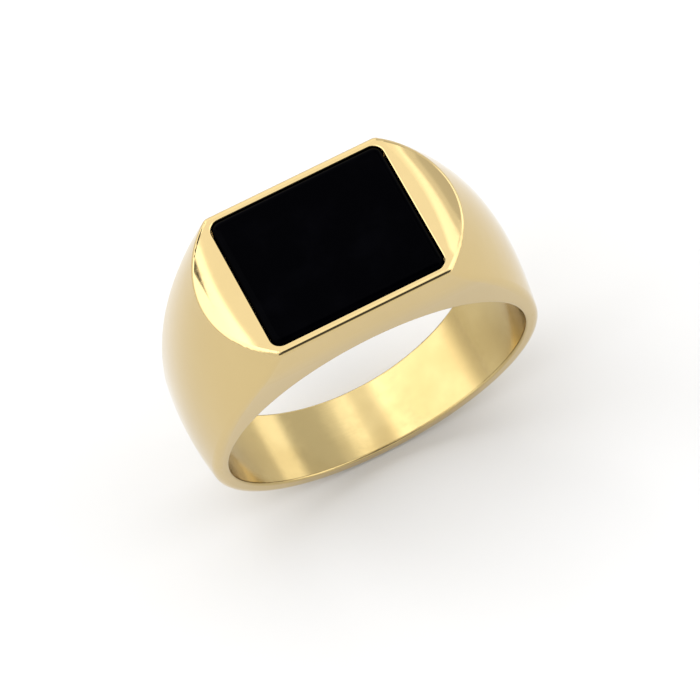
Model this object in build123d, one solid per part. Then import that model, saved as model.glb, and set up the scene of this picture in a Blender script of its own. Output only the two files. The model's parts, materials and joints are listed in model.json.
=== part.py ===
"""Gold signet ring with a flat rectangular onyx set in its table.

Frame, in millimetres: the origin is the centre of the finger bore, Y runs along the bore,
X across the finger (the stone's long side) and Z up through the head.
"""

import os
from math import acos, asin, atan2, cos, hypot, sin, sqrt

from build123d import *

# Onyx
STONE_LENGTH = 11.0
STONE_WIDTH = 9.0
STONE_THICKNESS = 1.9
STONE_CORNER = 0.6        # corner radius, seen from above
STONE_EDGE_ROUND = 0.45   # softened edge round the polished face
STONE_STAND = 0.2         # height of the polished face above the table

# Setting
SETTING_GAP = 0.05        # between the stone and the wall of its recess, all round
CEMENT_THICKNESS = 0.15
LIP_ROUND = 0.1           # burnished mouth of the recess

# Finger bore
BORE_RADIUS = 9.9
BORE_EDGE_ROUND = 0.15

# Band and shoulders
BAND_THICKNESS = 1.22     # on the band's centre line
BASE_WIDTH = 4.3          # width of the band under the finger
CROWN_RADIUS = 20.0       # bend of the outside, across the band
BAND_EDGE_ROUND = 0.5
SHOULDER_RADIUS = 29.0    # bend of each shoulder, between the band and the table

# Head, with its flat top or table
HEAD_RISE = 3.5           # from the top of the bore to the table
RIM_WIDTH = 0.55          # gold along each long side of the recess
KNEE_DROP = 2.3           # from the table down to where the taper of the side faces ends
KNEE_ROUND = 10.0
TABLE_END = 2.45          # gold past each short end of the stone, on the centre line
TABLE_END_BULGE = 2.6     # how far each rounded end of the table runs past its straight sides
TABLE_LEVEL = 0.9         # how far the table stays level past the stone, on the centre line
TABLE_END_BEND = 4.5      # radius of the table's ends as they fall away beyond that
TABLE_EDGE_ROUND = 0.3

# Values that follow from those above
SHANK_RADIUS = BORE_RADIUS + BAND_THICKNESS
TABLE_HEIGHT = BORE_RADIUS + HEAD_RISE
TABLE_HALF_LENGTH = STONE_LENGTH / 2 + TABLE_END
STONE_TOP = TABLE_HEIGHT + STONE_STAND
RECESS_FLOOR = STONE_TOP - STONE_THICKNESS - CEMENT_THICKNESS
HEAD_HALF_WIDTH = STONE_WIDTH / 2 + SETTING_GAP + RIM_WIDTH
KNEE_HEIGHT = TABLE_HEIGHT - KNEE_DROP
TAPER = (HEAD_HALF_WIDTH - BASE_WIDTH / 2) / (KNEE_HEIGHT + SHANK_RADIUS)

# The table's rounded end is an arc through its tip and the ends of the straight sides.
TABLE_END_RADIUS = (HEAD_HALF_WIDTH**2 + TABLE_END_BULGE**2) / (2 * TABLE_END_BULGE)

SECTION_COUNT = 9         # outlines that the blank is lofted through
SPARE = 1.0               # how far blanks run past the faces that trim them
NEAR = 0.01               # closeness that tells edges apart


def drop(radius, distance):
    """Depth of an arc below its top, at this distance from its middle."""
    return radius - sqrt(radius**2 - distance**2)


def blank_section(y):
    """Outline of the ring seen along the bore, without the bore, on the plane at y.

    The band's circle meets a shoulder arc on each side without a corner, and each
    shoulder arc passes through the table's end.
    """
    shank = SHANK_RADIUS - drop(CROWN_RADIUS, y)
    table_x = TABLE_HALF_LENGTH - drop(TABLE_END_RADIUS, y)
    reach = hypot(table_x, TABLE_HEIGHT)
    offset = SHOULDER_RADIUS - shank
    along = (SHOULDER_RADIUS**2 - offset**2 - reach**2) / (2 * offset)
    touch = atan2(TABLE_HEIGHT, table_x) - acos(along / reach)
    centre_x = -offset * cos(touch)
    centre_z = -offset * sin(touch)

    def shoulder(angle):
        """Point of the right-hand shoulder arc at this angle about its centre."""
        return (centre_x + SHOULDER_RADIUS * cos(angle), y, centre_z + SHOULDER_RADIUS * sin(angle))

    top_angle = asin((TABLE_HEIGHT + SPARE - centre_z) / SHOULDER_RADIUS)
    right = [shoulder(touch), shoulder((touch + top_angle) / 2), shoulder(top_angle)]
    left = [(-x, y, z) for x, y, z in right]
    return Wire(
        [
            Edge.make_three_point_arc(left[0], (0, y, -shank), right[0]),
            Edge.make_three_point_arc(*right),
            Edge.make_line(right[2], left[2]),
            Edge.make_three_point_arc(*reversed(left)),
        ]
    )


def crowned_blank():
    """Solid under the crowned outside of the band, the shoulders and the head."""
    reach = min(HEAD_HALF_WIDTH + SPARE / 2, (HEAD_HALF_WIDTH + TABLE_END_RADIUS) / 2)
    step = 2 * reach / (SECTION_COUNT - 1)
    return Solid.make_loft([blank_section(step * i - reach) for i in range(SECTION_COUNT)])


def side_prism():
    """Prism along X between the two side faces, which taper from the head to the base."""
    low_z = -SHANK_RADIUS - SPARE
    top_z = TABLE_HEIGHT + 2 * SPARE
    half_low = BASE_WIDTH / 2 - TAPER * SPARE
    right = [(half_low, low_z), (HEAD_HALF_WIDTH, KNEE_HEIGHT), (HEAD_HALF_WIDTH, top_z)]
    left = [(-y, z) for y, z in reversed(right)]
    with BuildSketch(Plane.YZ) as outline:
        with BuildLine():
            Polyline(*right, *left, close=True)
        make_face()
        fillet([v for v in outline.vertices() if abs(v.Y - KNEE_HEIGHT) < NEAR], KNEE_ROUND)
    return extrude(outline.sketch, SHANK_RADIUS + SPARE, both=True)


def table_button():
    """Disc as deep as the ring, level over the stone and bent down along its right-hand edge.

    Its level top ends in an arc that clears the corners of the recess.
    """
    clear_x = STONE_LENGTH / 2 + SETTING_GAP + 2 * LIP_ROUND
    clear_y = STONE_WIDTH / 2 + SETTING_GAP + 2 * LIP_ROUND
    level_x = STONE_LENGTH / 2 + TABLE_LEVEL
    bulge = level_x - clear_x
    level_radius = (clear_y**2 + bulge**2) / (2 * bulge)
    axis_x = level_x - level_radius
    bend_end = TABLE_HALF_LENGTH + SPARE
    low_z = -SHANK_RADIUS - SPARE
    side_x = SHANK_RADIUS + SPARE

    def bend(x):
        """Point of the bend at this x."""
        return (x, TABLE_HEIGHT - drop(TABLE_END_BEND, x - level_x))

    end = bend(bend_end)
    with BuildSketch(Plane.XZ) as outline:
        with BuildLine():
            Line((axis_x, TABLE_HEIGHT), bend(level_x))
            ThreePointArc(bend(level_x), bend((level_x + bend_end) / 2), end)
            Polyline(end, (side_x, end[1]), (side_x, low_z), (axis_x, low_z), (axis_x, TABLE_HEIGHT))
        make_face()
    return revolve(outline.sketch, Axis((axis_x, 0, 0), (0, 0, 1)))


def is_side_edge(edge):
    """True for the edges between the crowned outside and the side faces."""
    to_one_side = abs(edge.center().Y) > NEAR
    return edge.geom_type != GeomType.LINE and to_one_side and edge.bounding_box().size.Z > NEAR


def side_edge_round():
    """Radius along the side edges, limited by the side face's depth beside the finger."""
    widest = BASE_WIDTH / 2 + TAPER * SHANK_RADIUS
    side_depth = BAND_THICKNESS - drop(CROWN_RADIUS, widest)
    return min(BAND_EDGE_ROUND, side_depth - BORE_EDGE_ROUND - NEAR)


def table_edges(solid):
    """Edges all round the table, without those that its own faces share."""
    faces = [face for face in solid.faces() if face.center().Z > TABLE_HEIGHT - TABLE_EDGE_ROUND]
    edges = [edge for face in faces for edge in face.edges()]
    return [edge for edge in edges if sum(edge.is_same(other) for other in edges) == 1]


def rounded_blank():
    """Outside of the ring with its edges rounded, before the bore and the recess are cut."""
    button = table_button()
    blank = crowned_blank() & side_prism() & button & mirror(button, Plane.YZ)
    blank = blank.fillet(side_edge_round(), [edge for edge in blank.edges() if is_side_edge(edge)])
    return blank.fillet(TABLE_EDGE_ROUND, table_edges(blank))


def rounded_block(length, width, corner, low_z, high_z):
    """Upright block with rounded corners, centred over the bore."""
    with BuildSketch(Plane.XY.offset(low_z)) as outline:
        RectangleRounded(length, width, corner)
    return extrude(outline.sketch, high_z - low_z)


def is_bore_edge(edge):
    """True for the edges where the bore meets the side faces."""
    points = [edge @ share for share in (0, 0.3, 0.6, 1)]
    return all(abs(hypot(point.X, point.Z) - BORE_RADIUS) < NEAR for point in points)


def level_edges(solid, height):
    """Edges of a solid that lie on the level plane at this height."""

    def is_level(box):
        return abs(box.min.Z - height) < NEAR and abs(box.max.Z - height) < NEAR

    return [edge for edge in solid.edges() if is_level(edge.bounding_box())]


def is_recess_edge(edge):
    """True for the edges round the recess, seen from above."""
    centre = edge.center()
    inside_x = abs(centre.X) < STONE_LENGTH / 2 + SETTING_GAP + NEAR
    return inside_x and abs(centre.Y) < STONE_WIDTH / 2 + SETTING_GAP + NEAR


def gold_ring():
    """Band, shoulders and head, cast in one piece, with the bore and the stone's recess."""
    ring = rounded_blank() - Rot(90, 0, 0) * Cylinder(BORE_RADIUS, 2 * (HEAD_HALF_WIDTH + SPARE))
    ring = ring.fillet(BORE_EDGE_ROUND, [edge for edge in ring.edges() if is_bore_edge(edge)])
    ring = ring - rounded_block(
        STONE_LENGTH + 2 * SETTING_GAP,
        STONE_WIDTH + 2 * SETTING_GAP,
        STONE_CORNER + SETTING_GAP,
        RECESS_FLOOR,
        TABLE_HEIGHT + SPARE,
    )
    mouth = [edge for edge in level_edges(ring, TABLE_HEIGHT) if is_recess_edge(edge)]
    return ring.fillet(LIP_ROUND, mouth)


def onyx_tablet():
    """Flat tablet of onyx, its polished face softened at the edges."""
    block = rounded_block(STONE_LENGTH, STONE_WIDTH, STONE_CORNER, STONE_TOP - STONE_THICKNESS, STONE_TOP)
    return block.fillet(STONE_EDGE_ROUND, level_edges(block, STONE_TOP))


def cement_bed():
    """Thin bed of setting cement between the stone and the floor of its recess."""
    cement_top = RECESS_FLOOR + CEMENT_THICKNESS
    return rounded_block(STONE_LENGTH, STONE_WIDTH, STONE_CORNER, RECESS_FLOOR, cement_top)


PARTS = {"gold_ring": gold_ring, "onyx_tablet": onyx_tablet, "cement_bed": cement_bed}

os.makedirs("parts", exist_ok=True)
for name, build in PARTS.items():
    export_step(build(), f"parts/{name}.step")
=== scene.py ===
"""Studio scene of a gold signet ring with an onyx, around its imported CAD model. Metres throughout.

The gold, the onyx and the cement are the CAD nodes, with node materials. The light is a soft
surround with brighter and darker windows in it, which the polished gold reflects.
"""

import json
from collections import namedtuple
from math import cos, radians, sin

import bpy
from mathutils import Matrix, Vector


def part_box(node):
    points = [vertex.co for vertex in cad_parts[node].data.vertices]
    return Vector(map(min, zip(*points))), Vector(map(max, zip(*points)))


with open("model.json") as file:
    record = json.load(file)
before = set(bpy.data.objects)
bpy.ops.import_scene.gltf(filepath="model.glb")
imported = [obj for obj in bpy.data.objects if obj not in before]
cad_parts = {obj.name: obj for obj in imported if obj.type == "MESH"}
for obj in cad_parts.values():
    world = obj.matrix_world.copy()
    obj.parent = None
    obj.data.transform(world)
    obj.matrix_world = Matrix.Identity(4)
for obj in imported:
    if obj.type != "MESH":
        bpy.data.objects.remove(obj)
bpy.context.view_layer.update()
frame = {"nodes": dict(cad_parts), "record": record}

MOUNTS = {mount["name"]: mount for mount in frame["record"]["mounts"]}
BORE_RADIUS = MOUNTS["finger_bore"]["dims"]["r_mm"] / 1000

# Azimuths run from +Y towards +X. They, elevations and turns are in degrees.

# Camera, aimed at a point near the centre of the bore
CAMERA_AZIMUTH = 193.86
CAMERA_ELEVATION = 63.05
CAMERA_ROLL = -13.73
CAMERA_DISTANCE = 0.3
CAMERA_AIM = (-0.00017, -0.00007, -0.00006)
CAMERA_CLIP = (0.01, 10.0)
LENS_MM = 257.4
SENSOR_MM = 36.0

# Floor
FLOOR_SIZE = 3.0
FLOOR_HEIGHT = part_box("gold_ring")[0].z
FLOOR_COLOUR = (0.72, 0.72, 0.72, 1)
FLOOR_ROUGHNESS = 0.9

# In the materials, cells are those of a noise, per metre, and a range is the noise from which
# something starts and at which it is full.

# Gold
GOLD_DEEP = (0.605, 0.46, 0.215, 1)
GOLD_PALE = (0.65, 0.50, 0.245, 1)
GOLD_CLOUD_CELLS = 180.0
POLISH_CELLS = 2600.0
POLISH_RANGE = (0.3, 0.75)
POLISH_ROUGHNESS = (0.055, 0.105)
WAVE_CELLS = 190.0
WAVE_HEIGHT = 0.00002
WAVE_STRENGTH = 0.4
HAIRLINE_CELLS = (260.0, 9000.0, 9000.0)     # few along X, so that the scratches run that way
HAIRLINE_TURNS = [(15, 40, 70), (60, 10, -35), (-40, 75, 20)]     # one for each set of scratches
HAIRLINE_RANGE = (0.68, 0.8)
HAIRLINE_DEPTH = 0.0000004

# Satin finish of the bore; its darker colours are painted shade, its roughness, waves and lines are the
# finish
# darker colours of the bore: painted shade
BORE_PAINTED_SHADE_DEEP = (0.475, 0.355, 0.15, 1)
BORE_PAINTED_SHADE_PALE = (0.56, 0.435, 0.2, 1)
SATIN_CLOUD_RANGE = (0.3, 0.7)
SATIN_ROUGHNESS = 0.09                       # on top of the polish
SATIN_WAVES = 4.0                            # times the height of the waves, added to them
SATIN_START = 0.00012                        # how far outside the wall of the bore it starts
SATIN_FULL = 0.00002                         # how far outside the wall it is full
LINE_CELLS_ALONG = 150.0                     # fine lines round the bore
LINE_CELLS_ACROSS = 14000.0
LINE_HEIGHT = 0.000002

# Onyx
ONYX_DEEP = (0.0002, 0.0002, 0.0006, 1)
ONYX_PALE = (0.0007, 0.0007, 0.0013, 1)
ONYX_CLOUD_CELLS = 420.0
ONYX_CLOUD_RANGE = (0.45, 0.8)
ONYX_POLISH_CELLS = 3000.0
ONYX_POLISH_RANGE = (0.3, 0.8)
ONYX_ROUGHNESS = (0.05, 0.11)
ONYX_SPECULAR = 0.008
ONYX_WAVE_CELLS = 600.0
ONYX_WAVE_HEIGHT = 0.00001
ONYX_WAVE_STRENGTH = 0.3

# Cement
CEMENT_DARK = (0.09, 0.085, 0.075, 1)
CEMENT_LIGHT = (0.15, 0.14, 0.13, 1)
CEMENT_CELLS = 4000.0
CEMENT_HEIGHT = 0.00002
CEMENT_ROUGHNESS = 0.8

# Elevation and brightness of the bare surround, from the horizon to overhead
SURROUND = [(0, 1.05), (30, 1.05), (48, 1.12), (58, 1.25), (63, 1.48), (72, 1.4), (90, 1.6)]
SURROUND_LIMIT = 2.0                         # brightness that stands for white in its ramp
SURROUND_MAP = 256                           # width in pixels of the map that its light is sampled by

# Window in the surround: its sides, how far it fades out beyond them, and its amount
Window = namedtuple("Window", "azimuths azimuth_edge elevations elevation_edge amount")

# Their amount is the brightness that they add.
SOFT_BOXES = [
    Window((-100, -22), 24, (25, 72), 22, 1.35),     # large, on the left
    Window((-8, 20), 8, (8, 54), 10, 0.5),           # behind the ring
    Window((29, 48), 7, (56, 75), 4, 0.8),           # strip, high on the right
    Window((58, 90), 8, (52, 68), 6, 0.7),           # high on the right
    Window((58, 80), 8, (1, 17), 4, 0.9),            # low on the right
    Window((96, 120), 32, (20, 52), 24, 1.0),        # large, on the right
]
# Their amount is the share of the light that they take.
CARDS = [
    Window((-33, -15), 3, (28, 54), 2.5, 0.94),      # black, behind the ring
    Window((28, 66), 6, (24, 46), 4, 0.22),          # pale grey, behind on the right
    Window((138, 180), 18, (26, 54), 7, 0.9),        # dark room in front, in two halves
    Window((-180, -160), 18, (26, 54), 7, 0.9),
]
# Round dark card, high in front: its middle, its radius, how far it fades out beyond that, and
# the share of the light that it takes
ROUND_CARD_AZIMUTH = 166.14
ROUND_CARD_ELEVATION = 63.05
ROUND_CARD_RADIUS = 7
ROUND_CARD_EDGE = 4
ROUND_CARD_AMOUNT = 0.95


def direction(azimuth, elevation):
    """Unit vector towards an azimuth and an elevation."""
    a, e = radians(azimuth), radians(elevation)
    return Vector((sin(a) * cos(e), cos(a) * cos(e), sin(e)))


# ---- Node helpers ----

class Graph:
    """Node tree, with short calls that add nodes to it."""

    def __init__(self, tree):
        self.nodes = tree.nodes
        self.link = tree.links.new

    def put(self, value, socket):
        """Sets a socket, or links it if the value is another node's output."""
        if isinstance(value, bpy.types.NodeSocket):
            self.link(value, socket)
        else:
            socket.default_value = value

    def node(self, kind, values, **settings):
        """New node with its settings, and values for its inputs by name or number."""
        node = self.nodes.new(kind)
        for name, setting in settings.items():
            setattr(node, name, setting)
        for name, value in values.items():
            self.put(value, node.inputs[name])
        return node

    def math(self, operation, *values):
        """Result of a Math node."""
        return self.node("ShaderNodeMath", dict(enumerate(values)), operation=operation).outputs["Value"]

    def separate(self, vector):
        """X, Y and Z of a vector, by name."""
        return self.node("ShaderNodeSeparateXYZ", {"Vector": vector}).outputs

    def ease(self, value, start, end, low=0.0, high=1.0):
        """Eases from low at start to high at end, where start may be above end."""
        values = {"Value": value, "From Min": start, "From Max": end, "To Min": low, "To Max": high}
        node = self.node("ShaderNodeMapRange", values, interpolation_type="SMOOTHERSTEP")
        return node.outputs["Result"]

    def stretch(self, coords, cells, turn):
        """Coordinates scaled along each axis, then turned, which leaves the stretch where it is."""
        values = {"Vector": coords, "Rotation": [radians(angle) for angle in turn], "Scale": cells}
        return self.node("ShaderNodeMapping", values).outputs["Vector"]

    def noise(self, coords, cells=1.0, detail=2.0):
        """Noise from 0 to 1."""
        values = {"Vector": coords, "Scale": cells, "Detail": detail}
        return self.node("ShaderNodeTexNoise", values).outputs["Fac"]

    def bump(self, height, distance, strength=1.0, normal=None):
        """Normal, bent by a height from 0 to 1, where 1 stands for the distance in metres."""
        values = {"Height": height, "Distance": distance, "Strength": strength}
        if normal:
            values["Normal"] = normal
        return self.node("ShaderNodeBump", values).outputs["Normal"]

    def mix(self, share, first, second):
        """Colour between the first and the second."""
        node = self.node("ShaderNodeMix", {}, data_type="RGBA")
        self.put(share, node.inputs["Factor"])
        self.put(first, node.inputs["A"])
        self.put(second, node.inputs["B"])
        return node.outputs["Result"]


class Finish(Graph):
    """Material, with its node tree and its Principled shader's inputs."""

    def __init__(self, name):
        self.material = bpy.data.materials.new(name)
        self.material.use_nodes = True
        super().__init__(self.material.node_tree)
        self.shader = self.nodes["Principled BSDF"].inputs

    def coords(self):
        """Place on the object, in metres."""
        return self.node("ShaderNodeTexCoord", {}).outputs["Object"]


# ---- Materials ----

def satin_and_shade_share(gold, coords):
    """1 on the wall of the bore, fading to 0 just outside it: the share of the satin finish and of the
    painted shade there.
    """
    axes = gold.separate(coords)
    squares = [gold.math("MULTIPLY", axes[name], axes[name]) for name in "XZ"]
    from_axis = gold.math("SQRT", gold.math("ADD", *squares))
    return gold.ease(from_axis, BORE_RADIUS + SATIN_START, BORE_RADIUS + SATIN_FULL)


def hairlines(gold, coords):
    """Fine scratches from wear, from 0 to 1."""
    scratches = 0.0
    for turn in HAIRLINE_TURNS:
        streaks = gold.noise(gold.stretch(coords, HAIRLINE_CELLS, turn), detail=1.0)
        scratches = gold.math("MAXIMUM", scratches, gold.ease(streaks, *HAIRLINE_RANGE))
    return scratches


def bore_lines(gold, coords):
    """Fine lines round the bore, from 0 to 1."""
    axes = gold.separate(coords)
    values = {
        "X": gold.math("MULTIPLY", axes["Y"], LINE_CELLS_ACROSS),
        "Y": gold.math("MULTIPLY", axes["X"], LINE_CELLS_ALONG),
        "Z": gold.math("MULTIPLY", axes["Z"], LINE_CELLS_ALONG),
    }
    return gold.noise(gold.node("ShaderNodeCombineXYZ", values).outputs["Vector"])


def gold_material():
    """Polished yellow gold with faint waves and hairlines, and a satin finish in the bore, where the
    darker colour is painted shade.
    """
    gold = Finish("polished_gold")
    coords = gold.coords()
    satin_and_shade = satin_and_shade_share(gold, coords)

    clouds = gold.noise(coords, GOLD_CLOUD_CELLS, detail=3.0)
    outside = gold.mix(clouds, GOLD_DEEP, GOLD_PALE)
    # darker gold in the bore: painted shade
    inside = gold.mix(gold.ease(clouds, *SATIN_CLOUD_RANGE), BORE_PAINTED_SHADE_DEEP, BORE_PAINTED_SHADE_PALE)
    gold.put(gold.mix(satin_and_shade, outside, inside), gold.shader["Base Color"])
    gold.put(1.0, gold.shader["Metallic"])

    grain = gold.noise(coords, POLISH_CELLS, detail=3.0)
    polish = gold.ease(grain, *POLISH_RANGE, *POLISH_ROUGHNESS)
    gold.put(gold.math("MULTIPLY_ADD", satin_and_shade, SATIN_ROUGHNESS, polish), gold.shader["Roughness"])

    waves = gold.noise(coords, WAVE_CELLS, detail=1.0)
    waves = gold.math("MULTIPLY", waves, gold.math("MULTIPLY_ADD", satin_and_shade, SATIN_WAVES, 1.0))
    scratches = gold.math("MULTIPLY", hairlines(gold, coords), gold.math("SUBTRACT", 1.0, satin_and_shade))
    lines = gold.math("MULTIPLY", bore_lines(gold, coords), satin_and_shade)
    normal = gold.bump(waves, WAVE_HEIGHT, WAVE_STRENGTH)
    normal = gold.bump(scratches, -HAIRLINE_DEPTH, normal=normal)
    normal = gold.bump(lines, LINE_HEIGHT, normal=normal)
    gold.put(normal, gold.shader["Normal"])
    return gold.material


def onyx_material():
    """Black onyx: an even, deep polish, with faint clouds in the stone."""
    onyx = Finish("black_onyx")
    coords = onyx.coords()
    clouds = onyx.ease(onyx.noise(coords, ONYX_CLOUD_CELLS, detail=4.0), *ONYX_CLOUD_RANGE)
    onyx.put(onyx.mix(clouds, ONYX_DEEP, ONYX_PALE), onyx.shader["Base Color"])
    grain = onyx.noise(coords, ONYX_POLISH_CELLS)
    onyx.put(onyx.ease(grain, *ONYX_POLISH_RANGE, *ONYX_ROUGHNESS), onyx.shader["Roughness"])
    onyx.put(ONYX_SPECULAR, onyx.shader["Specular IOR Level"])
    waves = onyx.noise(coords, ONYX_WAVE_CELLS, detail=1.0)
    onyx.put(onyx.bump(waves, ONYX_WAVE_HEIGHT, ONYX_WAVE_STRENGTH), onyx.shader["Normal"])
    return onyx.material


def cement_material():
    """Dark setting cement, dull and grainy."""
    cement = Finish("setting_cement")
    grain = cement.noise(cement.coords(), CEMENT_CELLS, detail=4.0)
    cement.put(cement.mix(grain, CEMENT_DARK, CEMENT_LIGHT), cement.shader["Base Color"])
    cement.put(CEMENT_ROUGHNESS, cement.shader["Roughness"])
    cement.put(cement.bump(grain, CEMENT_HEIGHT), cement.shader["Normal"])
    return cement.material


def floor_material():
    """Matt pale grey."""
    floor = Finish("pale_floor")
    floor.put(FLOOR_COLOUR, floor.shader["Base Color"])
    floor.put(FLOOR_ROUGHNESS, floor.shader["Roughness"])
    return floor.material


def set_material(node, material):
    """Gives a CAD node its material."""
    for slot in frame["nodes"][node].material_slots:
        slot.material = material


# ---- Stage ----

def add_camera():
    """Camera that looks at the ring from above its front."""
    back = direction(CAMERA_AZIMUTH, CAMERA_ELEVATION)
    data = bpy.data.cameras.new("camera")
    data.sensor_width = SENSOR_MM
    data.lens = LENS_MM
    data.clip_start, data.clip_end = CAMERA_CLIP
    camera = bpy.data.objects.new("camera", data)
    bpy.context.scene.collection.objects.link(camera)
    turned = (-back).to_track_quat("-Z", "Y").to_matrix().to_4x4()
    roll = Matrix.Rotation(radians(CAMERA_ROLL), 4, "Z")
    place = Matrix.Translation(Vector(CAMERA_AIM) + back * CAMERA_DISTANCE)
    camera.matrix_world = place @ turned @ roll
    bpy.context.scene.camera = camera


def add_floor():
    """Floor at the ring's lowest point."""
    half = FLOOR_SIZE / 2
    mesh = bpy.data.meshes.new("floor")
    corners = [(-half, -half, 0), (half, -half, 0), (half, half, 0), (-half, half, 0)]
    mesh.from_pydata(corners, [], [(0, 1, 2, 3)])
    mesh.materials.append(floor_material())
    floor = bpy.data.objects.new("floor", mesh)
    floor.location.z = FLOOR_HEIGHT
    bpy.context.scene.collection.objects.link(floor)


def surround_light(graph, elevation):
    """Brightness of the bare surround at an elevation."""
    ramp = graph.node("ShaderNodeValToRGB", {"Fac": graph.math("DIVIDE", elevation, 90.0)})
    points = ramp.color_ramp.elements
    while len(points) < len(SURROUND):
        points.new(0.5)
    for point, (height, level) in zip(points, SURROUND):
        grey = level / SURROUND_LIMIT
        point.position = height / 90
        point.color = (grey, grey, grey, 1)
    return graph.math("MULTIPLY", ramp.outputs["Color"], SURROUND_LIMIT)


def window_share(graph, azimuth, elevation, window):
    """1 inside a window, fading to 0 outside it."""

    def between(angle, sides, edge):
        """1 between two sides, fading to 0 outside them."""
        low, high = sides
        rise = graph.ease(angle, low - edge, low)
        fall = graph.ease(angle, high + edge, high)
        return graph.math("MINIMUM", rise, fall)

    across = between(azimuth, window.azimuths, window.azimuth_edge)
    upright = between(elevation, window.elevations, window.elevation_edge)
    return graph.math("MINIMUM", across, upright)


def round_card_share(graph, ray):
    """1 inside the round card, fading to 0 outside it."""
    values = {0: ray, 1: direction(ROUND_CARD_AZIMUTH, ROUND_CARD_ELEVATION)}
    nearness = graph.node("ShaderNodeVectorMath", values, operation="DOT_PRODUCT").outputs["Value"]
    angle = graph.math("DEGREES", graph.math("ARCCOSINE", nearness))
    return graph.ease(angle, ROUND_CARD_RADIUS + ROUND_CARD_EDGE, ROUND_CARD_RADIUS)


def set_world():
    """Soft surround with its soft boxes and cards, all placed by direction."""
    world = bpy.data.worlds.new("studio")
    bpy.context.scene.world = world
    world.use_nodes = True
    world.cycles.sampling_method = "MANUAL"
    world.cycles.sample_map_resolution = SURROUND_MAP
    graph = Graph(world.node_tree)
    ray = graph.node("ShaderNodeTexCoord", {}).outputs["Generated"]
    axes = graph.separate(ray)
    azimuth = graph.math("DEGREES", graph.math("ARCTAN2", axes["X"], axes["Y"]))
    elevation = graph.math("DEGREES", graph.math("ARCSINE", axes["Z"]))

    light = surround_light(graph, elevation)
    for box in SOFT_BOXES:
        inside = window_share(graph, azimuth, elevation, box)
        light = graph.math("MULTIPLY_ADD", inside, box.amount, light)
    shades = [(window_share(graph, azimuth, elevation, card), card.amount) for card in CARDS]
    shades.append((round_card_share(graph, ray), ROUND_CARD_AMOUNT))
    for inside, amount in shades:
        light = graph.math("MULTIPLY", light, graph.math("MULTIPLY_ADD", inside, -amount, 1.0))

    background = graph.nodes["Background"].inputs
    graph.put((1, 1, 1, 1), background["Color"])
    graph.put(light, background["Strength"])


add_camera()
set_world()
add_floor()
set_material("gold_ring", gold_material())
set_material("onyx_tablet", onyx_material())
set_material("cement_bed", cement_material())
bpy.context.scene.view_settings.view_transform = "Standard"
